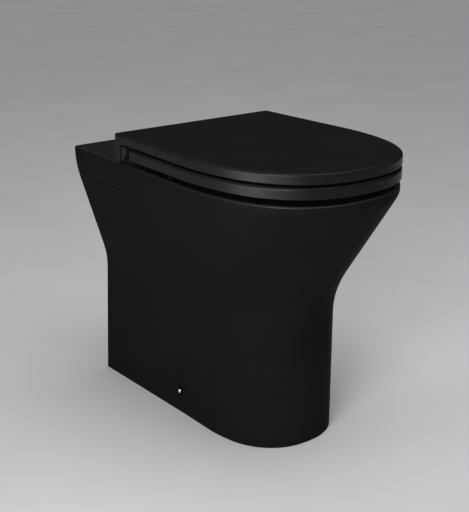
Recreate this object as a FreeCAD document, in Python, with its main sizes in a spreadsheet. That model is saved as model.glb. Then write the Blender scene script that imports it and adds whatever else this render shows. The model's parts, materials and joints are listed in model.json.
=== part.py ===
"""Back to wall toilet: a floor-standing china pan with a soft-close seat and a wrap-over lid.

Millimetres. +X is right, +Y points into the wall, +Z is up. The origin is on the floor, in the wall plane,
on the centre line. A reach is a distance from the wall, so a point at reach r has y = -r.
"""
import FreeCAD, Part
import math
import os
import Sketcher

V = FreeCAD.Vector

# Driving dimensions: cell alias and value.
SIZES = {
    # outline of the pan: rim, waist and foot
    "rim_height": 457.0,
    "rim_width": 347.0,
    "rim_back_width": 325.0,
    "rim_depth": 593.5,
    "rim_straight": 360.0,
    "rim_power": 2.39,
    "rim_round": 4.0,
    "side_blend": 95.0,
    "flank_top": 443.0,
    "flank_soft": 8.0,
    "flank_back_top": 424.0,
    "flank_back_soft": 28.0,
    "waist_height": 256.0,
    "waist_soft": 42.0,
    "waist_back_height": 234.0,
    "waist_back_soft": 22.0,
    "waist_width": 217.0,
    "waist_back_width": 206.0,
    "waist_depth": 477.0,
    "foot_width": 217.0,
    "foot_back_width": 225.0,
    "foot_depth": 476.0,
    "foot_straight": 350.0,
    "foot_power": 2.25,
    # china walls and the scoop in each flank
    "china_wall": 12.0,
    "deck_thickness": 24.0,
    "back_bar": 25.0,
    "scoop_top": 401.0,
    "scoop_low": 246.0,
    "scoop_rear": 53.0,
    "scoop_back": 99.0,
    "scoop_foot": 12.0,
    "scoop_front": 190.0,
    "scoop_depth": 4.5,
    "scoop_climb": 5.0,
    "scoop_slot": 3.0,
    # bowl, trapway, outlet and flush inlet
    "bowl_wall": 10.0,
    "china_play": 0.05,
    "rim_band": 44.5,
    "lip_round": 5.0,
    "bowl_back": 228.0,
    "bowl_power": 2.3,
    "sump_reach": 285.0,
    "sump_half": 32.0,
    "sump_drop": 3.0,
    "trap_bore": 56.0,
    "trap_wall": 9.0,
    "trap_bend": 40.0,
    "dip_height": 118.0,
    "dip_reach": 215.0,
    "weir_height": 272.0,
    "weir_reach": 150.0,
    "outlet_height": 180.0,
    "outlet_turn_reach": 88.0,
    "outlet_diameter": 102.0,
    "outlet_length": 52.0,
    "outlet_wall": 9.0,
    "outlet_reach": 18.0,
    "inlet_height": 382.0,
    "inlet_bore": 55.0,
    "inlet_wall": 10.0,
    "inlet_reach": 20.0,
    # seat and lid
    "lid_overhang": 1.5,
    "lid_back": 149.0,
    "lid_side": 16.0,
    "lid_plate": 6.0,
    "lid_wall": 5.0,
    "lid_rear_wall": 3.0,
    "lid_round": 3.5,
    "lid_corner": 5.0,
    "lid_gap": 4.6,
    "ear_depth": 19.0,
    "ear_width": 9.0,
    "ear_round": 8.0,
    "ear_lobe": 27.0,
    "ear_groove": 3.2,
    "ear_groove_depth": 5.0,
    "ear_clearance": 3.0,
    "seat_gap": 10.6,
    "seat_thickness": 18.4,
    "seat_round": 4.5,
    "seat_side_band": 63.0,
    "seat_rear_band": 45.6,
    "seat_front_band": 67.0,
    "seat_play": 1.0,
    # hinges
    "hinge_spacing": 155.0,
    "axis_height": 33.0,
    "axis_setback": 13.7,
    "sweep_play": 0.9,
    "post_width": 24.0,
    "post_thick": 8.0,
    "arm_drop": 7.5,
    "eye_radius": 9.0,
    "pin_diameter": 8.0,
    "pin_play": 0.05,
    "pin_end": 2.0,
    "pin_tip": 1.0,
    "knuckle_radius": 9.5,
    "knuckle_length": 34.0,
    "side_play": 0.5,
    "cartridge_radius": 7.5,
    "damper_groove": 1.0,
    "damper_collar": 8.5,
    "bracket_thick": 4.0,
    "bracket_web": 8.0,
    "web_forward": 3.0,
    "lid_bracket_thick": 3.0,
    "lid_bracket_reach": 52.0,
    "base_diameter": 42.0,
    "base_thick": 5.0,
    "stud_diameter": 6.0,
    "stud_grip": 12.0,
    "stud_tail": 6.0,
    "stud_play": 0.2,
    "deck_hole": 16.0,
    "washer_diameter": 32.0,
    "washer_thick": 4.0,
    "nut_width": 19.0,
    "nut_thick": 12.0,
    # screws and buffers of the seat and the lid
    "screw_diameter": 4.0,
    "screw_head": 8.0,
    "screw_head_thick": 2.2,
    "screw_crown": 5.4,
    "screw_play": 0.05,
    "screw_bite": 12.0,
    "lid_screw_bite": 4.5,
    "screw_pitch": 18.0,
    "screw_inset": 22.0,
    "buffer_diameter": 14.0,
    "buffer_side": 70.0,
    "buffer_reach": 300.0,
    "buffer_inset": 31.0,
    "buffer_play": 0.3,
    "buffer_round": 2.0,
    "lid_buffer_diameter": 12.0,
    # floor fixing
    "fix_height": 42.0,
    "fix_reach": 250.0,
    "fix_hole": 12.0,
    "fix_play": 0.2,
    "floor_bracket_length": 70.0,
    "floor_bracket_width": 36.0,
    "floor_bracket_thick": 4.0,
    "floor_bracket_rise": 14.0,
    "floor_bracket_play": 1.5,
    "floor_boss_diameter": 18.0,
    "floor_boss_length": 16.0,
    "floor_hole": 7.0,
    "floor_hole_pitch": 46.0,
    "side_screw_diameter": 5.0,
    "sleeve_flange": 13.6,
    "sleeve_flange_thick": 1.0,
    "side_screw_head": 9.2,
    "side_screw_head_thick": 2.6,
    "side_screw_crown": 6.2,
    "side_screw_round": 0.9,
    "cap_diameter": 16.0,
    "cap_wall": 1.0,
    "cap_proud": 6.0,
    "cap_rim_proud": 3.0,
    "cap_shoulder": 13.8,
    "cap_shoulder_proud": 4.9,
    "cap_crown": 9.6,
    # flush fittings
    "seal_bore": 44.0,
    "seal_length": 35.0,
    "seal_flange": 68.0,
    "seal_flange_thick": 5.0,
    "seal_play": 0.2,
    "splitter_length": 36.0,
    "splitter_wall": 3.0,
    "splitter_proud": 7.0,
    "splitter_window": 11.0,
    "splitter_window_width": 18.0,
}

# Derived places, written once as expressions of the cells.
AXIS_REACH = "(Sizes.lid_back + Sizes.axis_setback)"
AXIS_Z = "(Sizes.rim_height + Sizes.axis_height)"
SEAT_LOW = "(Sizes.rim_height + Sizes.seat_gap)"
SEAT_TOP = "(Sizes.rim_height + Sizes.seat_gap + Sizes.seat_thickness)"
LID_LOW = "(%s + Sizes.lid_gap)" % SEAT_TOP
LID_TOP = "(%s + Sizes.lid_side)" % LID_LOW
PLATE_LOW = "(%s - Sizes.lid_plate)" % LID_TOP
LID_SWEEP = "(sqrt(Sizes.axis_setback ^ 2 + (%s - %s) ^ 2) + Sizes.sweep_play)" % (LID_TOP, AXIS_Z)
RISER_BACK = "(%s + %s)" % (AXIS_REACH, LID_SWEEP)
RISER_FRONT = "(%s + Sizes.post_thick)" % RISER_BACK
RISER_MIDDLE = "(%s + Sizes.post_thick / 2)" % RISER_BACK
EAR_RADIUS = "(Sizes.axis_height - Sizes.ear_clearance)"
NECK_RADIUS = "sqrt((%s - %s) ^ 2 + Sizes.eye_radius ^ 2)" % (RISER_FRONT, AXIS_REACH)
POST_X = "(Sizes.hinge_spacing / 2)"
SEAT_KNUCKLE_X = "(%s - Sizes.post_width / 2 - Sizes.side_play - Sizes.knuckle_length / 2)" % POST_X
LID_KNUCKLE_X = "(%s + Sizes.post_width / 2 + Sizes.side_play + Sizes.knuckle_length / 2)" % POST_X
DECK_LOW = "(Sizes.rim_height - Sizes.deck_thickness)"
SUMP_FLOOR = "(Sizes.dip_height - Sizes.trap_bore / 2 - Sizes.sump_drop)"
BACK_SHARE = "(Sizes.fix_height / Sizes.waist_back_height)"
SIDE_SHARE = "(Sizes.fix_height / Sizes.waist_height)"
FIX_BACK = "(Sizes.foot_back_width + (Sizes.waist_back_width - Sizes.foot_back_width) * %s) / 2" % BACK_SHARE
FIX_SIDE = "(Sizes.foot_width + (Sizes.waist_width - Sizes.foot_width) * %s) / 2" % SIDE_SHARE
FIX_X = "(%s + (%s - %s) * Sizes.fix_reach / Sizes.foot_straight)" % (FIX_BACK, FIX_SIDE, FIX_BACK)
BRACKET_X = "(%s - Sizes.china_wall - Sizes.floor_bracket_play)" % FIX_X
SEAT_BACK = "(%s + max(%s; %s) + Sizes.seat_play)" % (AXIS_REACH, EAR_RADIUS, NECK_RADIUS)
SEAT_SCREW_REACH = "(%s + Sizes.screw_inset)" % SEAT_BACK
LID_SCREW_REACH = "(%s + Sizes.lid_bracket_reach - Sizes.screw_inset / 2)" % AXIS_REACH

SIDES = (("left", -1), ("right", 1))

doc = FreeCAD.newDocument("BackToWallToilet")
sheet = doc.addObject("Spreadsheet::Sheet", "Sizes")
for row, (alias, number) in enumerate(SIZES.items(), start=1):
    sheet.set("A%d" % row, alias)
    sheet.set("B%d" % row, str(number))
    sheet.setAlias("B%d" % row, alias)
doc.recompute()

nodes = []


def num(expression):
    """The value of an expression of the cells."""
    return float(sheet.evalExpression(expression))


def size(alias):
    """The value of one cell."""
    return float(getattr(sheet, alias))


def keep(obj, label):
    """Name a finished sub-part; its label names its file."""
    obj.Label = label
    nodes.append(obj)
    return obj


def place(obj, x="0", y="0", z="0", axis=None, angle=0):
    """Turn an object and bind its place to expressions."""
    if axis:
        obj.Placement = FreeCAD.Placement(V(), FreeCAD.Rotation(axis, angle))
    for name, expression in (("x", x), ("y", y), ("z", z)):
        obj.setExpression("Placement.Base." + name, expression)
    return obj


ALONG_X = (V(0, 1, 0), 90)
AGAINST_X = (V(0, 1, 0), -90)
ALONG_Y = (V(1, 0, 0), -90)


def solid(kind, name, sizes, x, y, z, turn=(None, 0)):
    """A box or cylinder with its sizes and place bound to expressions."""
    obj = doc.addObject(kind, name)
    for prop, expression in sizes.items():
        obj.setExpression(prop, expression)
    return place(obj, x, y, z, *turn)


def box(name, length, width, height, x, y, z):
    return solid("Part::Box", name, {"Length": length, "Width": width, "Height": height}, x, y, z)


def rod(name, radius, length, x, y, z, turn=(None, 0)):
    return solid("Part::Cylinder", name, {"Radius": radius, "Height": length}, x, y, z, turn)


def joined(name, shapes):
    obj = doc.addObject("Part::MultiFuse", name)
    obj.Shapes = shapes
    return obj


def cut(name, base, tools):
    """The base less every tool."""
    obj = doc.addObject("Part::Cut", name)
    obj.Base = base
    obj.Tool = tools[0] if len(tools) == 1 else joined(name + "_tools", tools)
    return obj


def group(label, members):
    """Identical pieces as one node of separate solids."""
    obj = doc.addObject("Part::Compound", label)
    obj.Links = members
    return keep(obj, label)


def plane_of(body, role):
    return [feature for feature in body.Origin.OriginFeatures if feature.Role == role][0]


def sketch_on(body, name, role):
    sketch = body.newObject("Sketcher::SketchObject", name)
    sketch.AttachmentSupport = [(plane_of(body, role), "")]
    sketch.MapMode = "FlatFace"
    return sketch


def draw_outline(sketch, corners):
    """A closed polygon whose corners are bound to pairs of expressions."""
    points = [V(num(a), num(b), 0) for a, b in corners]
    count = len(points)
    for i in range(count):
        sketch.addGeometry(Part.LineSegment(points[i], points[(i + 1) % count]), False)
    for i in range(count):
        sketch.addConstraint(Sketcher.Constraint("Coincident", i, 2, (i + 1) % count, 1))
    for i, pair in enumerate(corners):
        for kind, axis, value, expression in (("DistanceX", -2, points[i].x, pair[0]),
                                              ("DistanceY", -1, points[i].y, pair[1])):
            if abs(value) < 1e-9:
                sketch.addConstraint(Sketcher.Constraint("PointOnObject", i, 1, axis))
            else:
                index = sketch.addConstraint(Sketcher.Constraint(kind, -1, 1, i, 1, value))
                sketch.setExpression("Constraints[%d]" % index, expression)


def turned(name, profile):
    """A body turned about its own Z axis from a profile of (radius, height) corners."""
    body = doc.addObject("PartDesign::Body", name)
    sketch = sketch_on(body, name + "_profile", "XZ_Plane")
    draw_outline(sketch, profile)
    spin = body.newObject("PartDesign::Revolution", name + "_spin")
    spin.Profile = sketch
    spin.ReferenceAxis = (sketch, ["V_Axis"])
    spin.Angle = 360
    body.Tip = spin
    return body


def tube_profile(outer, inner, low, high):
    """A plain ring's profile."""
    return [(inner, low), (outer, low), (outer, high), (inner, high)]


# Outlines seen from above.

def bulge(half, run, power, steps):
    """Points of a superellipse's front half, from its right end round to its left end."""
    points = []
    for i in range(steps + 1):
        turn = math.pi * i / steps
        side = math.cos(turn)
        ahead = max(math.sin(turn), 0.0)
        points.append((math.copysign(half * abs(side) ** (2 / power), side), run * ahead ** (2 / power)))
    return points


FRONT_STEPS = 16


def even_sides(curve):
    """Gives a curve across the front the same shape on both sides of the centre line."""
    poles = curve.getPoles()
    for index, (pole, other) in enumerate(zip(poles, reversed(poles)), 1):
        curve.setPole(index, V((pole.x - other.x) / 2, (pole.y + other.y) / 2, pole.z))


def d_wire(half_back, half_side, back, straight, front, power, z):
    """A D seen from above: a straight back, two nearly straight sides and a front that they ease into."""
    left, right = V(-half_back, -back, z), V(half_back, -back, z)
    side_end = V(half_side, -straight, z)
    ahead = (side_end - right).normalize()
    start = side_end - ahead * min(size("side_blend"), (straight - back) / 2)
    front_points = bulge(half_side, front - straight, power, FRONT_STEPS)[1:-1]
    points = [start] + [V(x, -straight - run, z) for x, run in front_points] + [V(-start.x, start.y, z)]
    curve = Part.BSplineCurve()
    curve.interpolate(Points=points, InitialTangent=ahead, FinalTangent=V(ahead.x, -ahead.y, 0))
    even_sides(curve)
    edges = [Part.LineSegment(left, right).toShape(),
             Part.LineSegment(right, start).toShape(),
             curve.toShape(),
             Part.LineSegment(points[-1], left).toShape()]
    return Part.Wire(edges)


def oval_wire(half, middle, run, power, z):
    """A closed superellipse, for the bowl and the hole in the seat."""
    front = bulge(half, run, power, FRONT_STEPS)
    back = [(-x, -y) for x, y in front[1:-1]]
    points = [V(x, -middle - y, z) for x, y in front + back]
    curve = Part.BSplineCurve()
    curve.interpolate(Points=points, PeriodicFlag=True)
    return Part.Wire([curve.toShape()])


def prism(wire, height):
    return Part.Face(wire).extrude(V(0, 0, height))


def mix(a, b, share):
    return a + (b - a) * share


def levels(low, high, count):
    """Evenly spaced heights, without the first."""
    return [mix(low, high, (i + 1) / count) for i in range(count)]


def ramp(x, soft):
    """Zero, then a rise of slope one, with a soft bend between."""
    if x <= -soft:
        return 0.0
    if x >= soft:
        return x
    return (x + soft) ** 2 / (4 * soft)


BACK_BENDS = ("flank_back_top", "flank_back_soft", "waist_back_height", "waist_back_soft")
SIDE_BENDS = ("flank_top", "flank_soft", "waist_height", "waist_soft")


def pull_in(z, bends):
    """How far the outline has drawn in from the rim, 0, to the waist, 1, at a height."""
    top, top_soft, waist, waist_soft = [size(alias) for alias in bends]
    fall = top - z
    drop = top - waist
    return (ramp(fall, top_soft) - ramp(fall - drop, waist_soft)) / drop


def profile(z, part, bends):
    """A width or depth of the pan at a height, from its values at the rim, the waist and the foot."""
    rim, waist, foot = [size(level + part) for level in ("rim_", "waist_", "foot_")]
    waist_height, waist_soft = [size(alias) for alias in bends[2:]]
    spread = ramp(waist_height - z, waist_soft) / waist_height
    return mix(rim, waist, pull_in(z, bends)) + (foot - waist) * spread


def pan_straight(z):
    """The reach at which the pan's sides would meet its front at a height."""
    return mix(size("rim_straight"), size("foot_straight"), pull_in(z, SIDE_BENDS))


def pan_half(z, reach):
    """The pan's half width on its nearly straight sides."""
    back = profile(z, "back_width", BACK_BENDS)
    side = profile(z, "width", SIDE_BENDS)
    return mix(back, side, reach / pan_straight(z)) / 2


def pan_wire(z, inset, back):
    """The pan's outline at a height, drawn in by an inset, from a given reach at the back."""
    straight = pan_straight(z)
    front = profile(z, "depth", SIDE_BENDS)
    power = mix(size("rim_power"), size("foot_power"), pull_in(z, SIDE_BENDS))
    half_back = pan_half(z, back) - inset
    half_side = pan_half(z, straight) - inset
    return d_wire(half_back, half_side, back, straight, front - inset, power, z)


BEND_STEPS = 4
FLANK_STEPS = 6
WAIST_STEPS = 8
THROUGH = 10.0


def pan_bands(low, high):
    """Bands of heights between two levels: straight ones have two heights, bends have several."""
    flanks = [[size(alias) for alias in bends[:2]] for bends in (BACK_BENDS, SIDE_BENDS)]
    waists = [[size(alias) for alias in bends[2:]] for bends in (BACK_BENDS, SIDE_BENDS)]
    waist_low = min(middle - soft for middle, soft in waists)
    waist_top = max(middle + soft for middle, soft in waists)
    bend_low = min(min(middle, high) - soft for middle, soft in flanks)
    bend_top = min(max(middle + soft for middle, soft in flanks), high)
    bands = [[low, waist_low],
             [waist_low] + levels(waist_low, waist_top, WAIST_STEPS),
             [waist_top, bend_low],
             [bend_low] + levels(bend_low, bend_top, FLANK_STEPS)]
    if bend_top < high:
        bands.append([bend_top, high])
    return bands


def quarter_turns():
    """The angles of a rounded edge, from upright to flat."""
    return [math.pi / 2 * i / BEND_STEPS for i in range(BEND_STEPS + 1)]


def stacked(bands):
    """One solid from bands of outlines: ruled between two outlines, smooth through more."""
    solids = [Part.makeLoft(wires, True, len(wires) == 2) for wires in bands]
    return solids[0].fuse(solids[1:]).removeSplitter().Solids[0]


def pan_outside():
    """The outer form, with a rounded rim and a back that the wall plane cuts flat."""
    soft = size("rim_round")
    shoulder = size("rim_height") - soft
    bands = [[pan_wire(z, 0, -THROUGH) for z in band] for band in pan_bands(0, shoulder)]
    bands.append([pan_wire(shoulder + soft * math.sin(turn), soft * (1 - math.cos(turn)), -THROUGH)
                  for turn in quarter_turns()])
    width = size("rim_width")
    wall = Part.makeBox(2 * width, 2 * THROUGH, size("rim_height") + 2 * THROUGH, V(-width, 0, -THROUGH))
    return stacked(bands).cut(wall).Solids[0]


def pan_hollow():
    """The space inside the skirt, open at the floor and at the back."""
    return stacked([[pan_wire(z, size("china_wall"), -THROUGH) for z in band]
                    for band in pan_bands(-THROUGH, num(DECK_LOW))])


BOWL_LEVELS = 9


def bowl_wire(thickness, z):
    """The bowl's oval at a level, made larger by a thickness."""
    opening_front = size("rim_depth") - size("rim_band")
    opening_run = (opening_front - size("bowl_back")) / 2
    opening_half = size("rim_width") / 2 - size("rim_band")
    fall = min(max((size("rim_height") - z) / (size("rim_height") - num(SUMP_FLOOR)), 0.0), 1.0)
    share = (1 + math.cos(math.pi * fall)) / 2
    half = mix(size("sump_half"), opening_half, share) + thickness
    run = mix(size("sump_half"), opening_run, share) + thickness
    middle = mix(size("sump_reach"), opening_front - opening_run, share)
    return oval_wire(half, middle, run, size("bowl_power"), z)


def bowl_form(thickness, low, high):
    """The bowl's funnel, or its outside, from a low level to a high one."""
    wires = [bowl_wire(thickness, z) for z in [low] + levels(low, high, BOWL_LEVELS)]
    return Part.makeLoft(wires, True, False)


def lip_flare():
    """The room over the rounded lip of the bowl's opening."""
    soft, top = size("lip_round"), size("rim_height")
    lip = [bowl_wire(soft * (1 - math.cos(turn)), top - soft * (1 - math.sin(turn)))
           for turn in quarter_turns()]
    return stacked([lip, [bowl_wire(soft, top), bowl_wire(soft, top + THROUGH)]])


def bent_path(points, radius):
    """Straight runs joined by tangent arcs."""
    edges = []
    start = points[0]
    for before, corner, after in zip(points, points[1:], points[2:]):
        back = (before - corner).normalize()
        on = (after - corner).normalize()
        half_turn = (math.pi - back.getAngle(on)) / 2
        leg = radius * math.tan(half_turn)
        inward = (back + on).normalize()
        middle = corner + inward * (radius / math.cos(half_turn) - radius)
        edges.append(Part.LineSegment(start, corner + back * leg).toShape())
        edges.append(Part.Arc(corner + back * leg, middle, corner + on * leg).toShape())
        start = corner + on * leg
    edges.append(Part.LineSegment(start, points[-1]).toShape())
    return Part.Wire(edges)


def trap_tube(radius, end):
    """The trapway as a round tube: along the dip, up over the weir and down to the outlet."""
    points = [V(0, -size("sump_reach"), size("dip_height")),
              V(0, -size("dip_reach"), size("dip_height")),
              V(0, -size("weir_reach"), size("weir_height")),
              V(0, -size("outlet_turn_reach"), size("outlet_height")),
              V(0, -end, size("outlet_height"))]
    path = bent_path(points, size("trap_bend"))
    ring = Part.Wire([Part.Circle(points[0], V(0, 1, 0), radius).toShape()])
    return path.makePipeShell([ring], True, True)


def lying_rod(radius, x, near, far, z):
    """A cylinder along Y between two reaches."""
    return Part.makeCylinder(radius, far - near, V(x, -far, z), V(0, 1, 0))


def side_rod(radius, side, inner, outer, reach, z):
    """A cylinder along X between two distances from the centre line, on one side."""
    return Part.makeCylinder(radius, outer - inner, V(side * inner, -reach, z), V(side, 0, 0))


def scoops(side):
    """The shallow scoop in one flank: a long slope forwards, a short one back and a slot at its top."""
    rear, middle, front = size("scoop_rear"), size("scoop_back"), size("scoop_front")
    low, slot = size("scoop_low"), size("scoop_slot")

    def ledge(reach, depth):
        """A point of the top edge, which climbs a little towards the front."""
        z = size("scoop_top") + size("scoop_climb") * (reach - rear) / (front - rear)
        return V(side * (pan_half(z, reach) - depth), -reach, z)

    deepest = ledge(middle, size("scoop_depth"))
    foot = V(side * pan_half(low, size("scoop_foot")), -size("scoop_foot"), low)
    tools = []
    for reach in (front, rear):
        slope = Part.makePolygon([deepest, ledge(reach, 0), foot, deepest])
        tools.append(Part.Face(slope).extrude(V(side * size("rim_width"), 0, 0)))
    inmost = ledge(middle, size("scoop_depth") + slot)
    undercut = Part.makePolygon([inmost, ledge(front, 0), ledge(rear, 0), inmost])
    tools.append(Part.Face(undercut).extrude(V(0, 0, -slot)))
    return tools


def outlet_pipe(trap_radius, spigot_radius, end):
    """The trapway, its flare and the outlet spigot as one round pipe, or as that pipe's bore."""
    spigot_start = size("outlet_reach") + size("outlet_length")
    flare = size("outlet_diameter") / 2 - size("trap_bore") / 2 - size("trap_wall")
    height = size("outlet_height")
    cone = Part.makeCone(trap_radius, spigot_radius, flare, V(0, -spigot_start - flare, height), V(0, 1, 0))
    spigot = lying_rod(spigot_radius, 0, end, spigot_start, height)
    return trap_tube(trap_radius, spigot_start).fuse([cone, spigot]).removeSplitter()


def china_node(label, form, bores):
    """One china sub-part: its form less its bores."""
    for bore in bores:
        form = form.cut(bore)
    if len(form.Solids) != 1:
        raise RuntimeError("%s fell into %d solids" % (label, len(form.Solids)))
    obj = doc.addObject("Part::Feature", label)
    obj.Shape = form.Solids[0]
    return keep(obj, label)


def make_china():
    """The casting in three sub-parts: skirt and deck, bowl and flush inlet, trapway and outlet spigot."""
    trap_radius = size("trap_bore") / 2
    outlet_radius = size("outlet_diameter") / 2
    inlet_radius = size("inlet_bore") / 2
    bowl_low = num(SUMP_FLOOR) - size("bowl_wall")
    funnel = bowl_form(0, num(SUMP_FLOOR), size("rim_height") + THROUGH)
    waterway = outlet_pipe(trap_radius, outlet_radius - size("outlet_wall"), size("outlet_reach") - THROUGH)

    outside = pan_outside()
    bar = Part.makeBox(size("foot_back_width"), size("back_bar"), size("back_bar"),
                       V(-size("foot_back_width") / 2, -size("back_bar"), 0)).common(outside)
    holes = [funnel, lip_flare()]
    for _, side in SIDES:
        holes.append(Part.makeCylinder(size("deck_hole") / 2, size("deck_thickness") + 2 * THROUGH,
                                       V(side * num(POST_X), -num(RISER_MIDDLE), num(DECK_LOW) - THROUGH)))
        holes.append(side_rod(size("fix_hole") / 2, side, num(BRACKET_X), num(FIX_X) + THROUGH,
                              size("fix_reach"), size("fix_height")))
        holes.extend(scoops(side))
    china_node("pan", outside.cut(pan_hollow()).fuse(bar), holes)

    inlet = lying_rod(inlet_radius + size("inlet_wall"), 0, size("inlet_reach"), size("bowl_back"),
                      size("inlet_height"))
    inlet_way = lying_rod(inlet_radius, 0, 0, size("bowl_back") + 2 * size("bowl_wall"), size("inlet_height"))
    china_node("bowl", bowl_form(size("bowl_wall"), bowl_low, num(DECK_LOW)).fuse(inlet),
               [funnel, waterway, inlet_way])

    pipe = outlet_pipe(trap_radius + size("trap_wall"), outlet_radius, size("outlet_reach"))
    bowl_room = bowl_form(size("bowl_wall") + size("china_play"), bowl_low, num(DECK_LOW))
    china_node("trapway", pipe, [bowl_room, waterway])


# Seat and lid.

def cover_half(reach):
    """The half width of the lid and the seat on their nearly straight sides."""
    return pan_half(size("rim_height"), reach) + size("lid_overhang")


def cover_wire(back, inset, rear_inset, z):
    """The outline shared by the lid and the seat, from a given reach at the back."""
    start = back + rear_inset
    straight = size("rim_straight")
    front = size("rim_depth") + size("lid_overhang") - inset
    return d_wire(cover_half(start) - inset, cover_half(straight) - inset, start, straight, front,
                  size("rim_power"), z)


def edges_at(shape, z):
    """The edges of a shape that lie level at a height."""
    return [edge for edge in shape.Edges if all(abs(vertex.Z - z) < 1e-6 for vertex in edge.Vertexes)
            and abs(edge.CenterOfMass.z - z) < 1e-6]


def upright_edges(shape, reach):
    """The upright edges of a shape at a reach."""
    return [edge for edge in shape.Edges if len(edge.Vertexes) == 2
            and abs(edge.Vertexes[0].Z - edge.Vertexes[1].Z) > 1
            and all(abs(vertex.Y + reach) < 1e-6 for vertex in edge.Vertexes)]


def buffer_spots():
    """Where the buffers stand on the rim: a front pair and a rear pair."""
    rim = size("rim_width") / 2
    run = size("rim_depth") - size("rim_straight")
    side = size("buffer_side")
    ahead = run * (1 - (side / rim) ** size("rim_power")) ** (1 / size("rim_power"))
    front = size("rim_straight") + ahead - size("buffer_inset")
    rear = pan_half(size("rim_height"), size("buffer_reach")) - size("buffer_inset")
    return {"front": (side, front), "rear": (rear, size("buffer_reach"))}


def screw_spots(knuckle_x, reach):
    """The two screws of a bracket: distance from the centre line and reach."""
    return [(num(knuckle_x) + step * size("screw_pitch") / 2, num(reach)) for step in (-1, 1)]


def make_seat():
    """The ring: a D with an oval hole, rounded above, with blind holes for its bracket screws."""
    low = num(SEAT_LOW)
    thick = size("seat_thickness")
    back = num(SEAT_BACK)
    ring = prism(cover_wire(back, 0, 0, low), thick)
    ring = ring.makeFillet(size("lid_corner"), upright_edges(ring, back))
    hole_back = back + size("seat_rear_band")
    hole_front = size("rim_depth") + size("lid_overhang") - size("seat_front_band")
    hole_half = cover_half(size("rim_straight")) - size("seat_side_band")
    hole = oval_wire(hole_half, (hole_back + hole_front) / 2, (hole_front - hole_back) / 2,
                     size("bowl_power"), low)
    ring = ring.cut(prism(hole, thick))
    ring = ring.makeFillet(size("seat_round"), edges_at(ring, low + thick))
    radius = size("screw_diameter") / 2 + size("screw_play")
    holes = [Part.makeCylinder(radius, size("screw_bite") + size("screw_play"), V(side * x, -reach, low))
             for _, side in SIDES for x, reach in screw_spots(SEAT_KNUCKLE_X, SEAT_SCREW_REACH)]
    obj = doc.addObject("Part::Feature", "seat")
    obj.Shape = ring.cut(holes).Solids[0]
    return keep(obj, "seat")


def slab(side, inner, outer, near, far, low, high):
    """A block on one side, between two distances from the centre line, two reaches and two heights."""
    return Part.makeBox(outer - inner, far - near, high - low,
                        V(min(side * inner, side * outer), -far, low))


def lobe(side, inner, outer, near, far, low, high, soft):
    """A slab whose upper rear corner is rounded."""
    x = min(side * inner, side * outer)
    corner = Part.makeCylinder(soft, outer - inner, V(x, -near - soft, high - soft), V(1, 0, 0))
    return slab(side, inner, outer, near + soft, far, low, high).fuse(
        [slab(side, inner, outer, near, far, low, high - soft), corner])


def ear_groove(side, low, high):
    """The groove that sets off a round lobe in the outer face of an ear."""
    inner = cover_half(size("lid_back")) - size("ear_groove_depth")
    outer = inner + size("rim_width")
    near = size("lid_back") + size("ear_depth")
    far = num(SEAT_BACK)
    step, soft = size("ear_groove"), size("ear_round")
    outside = lobe(side, inner, outer, near, far, low, high, soft)
    return outside.cut(lobe(side, inner, outer, near + step, far, low - step, high - step, soft - step))


def make_lid():
    """The cover: a plate with a rim turned down all round, and two ears that hide the hinge line."""
    low = num(LID_LOW)
    under = num(PLATE_LOW)
    back = size("lid_back")
    shell = prism(cover_wire(back, 0, 0, low), size("lid_side"))
    shell = shell.makeFillet(size("lid_corner"), upright_edges(shell, back))
    shell = shell.makeFillet(size("lid_round"), edges_at(shell, num(LID_TOP)))
    shell = shell.cut(prism(cover_wire(back, size("lid_wall"), size("lid_rear_wall"), low), under - low))
    column_low = num(AXIS_Z) - num(EAR_RADIUS)
    column = prism(cover_wire(back, 0, 0, column_low), under - column_low)
    column = column.makeFillet(size("lid_corner"), upright_edges(column, back))
    swing = Part.makeCylinder(num(EAR_RADIUS), size("rim_width") * 2,
                              V(-size("rim_width"), -num(AXIS_REACH), num(AXIS_Z)), V(1, 0, 0))
    ears = []
    for _, side in SIDES:
        inner = cover_half(back) - size("ear_width")
        tip = num(AXIS_REACH) + size("ear_lobe")
        block = slab(side, inner, inner + size("rim_width"), back, tip, column_low, under)
        ears.append(column.common(block).common(swing).cut(ear_groove(side, column_low - 1, low)))
    shell = shell.fuse(ears).removeSplitter()
    radius = size("screw_diameter") / 2 + size("screw_play")
    depth = size("lid_screw_bite") + size("screw_play")
    tools = [Part.makeCylinder(radius, depth, V(side * x, -reach, under))
             for _, side in SIDES for x, reach in screw_spots(LID_KNUCKLE_X, LID_SCREW_REACH)]
    gap = size("post_width") + 2 * size("seat_play")
    for _, side in SIDES:
        tools.append(Part.makeBox(gap, size("lid_rear_wall"), under - low,
                                  V(side * num(POST_X) - gap / 2, -back - size("lid_rear_wall"), low)))
    obj = doc.addObject("Part::Feature", "lid")
    obj.Shape = shell.cut(tools).Solids[0]
    return keep(obj, "lid")


# Hinges.

def across(length, x, side):
    """The lowest x of a piece of a given length, centred at a distance to one side."""
    return "%d * %s - %s / 2" % (side, x, length)


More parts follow.
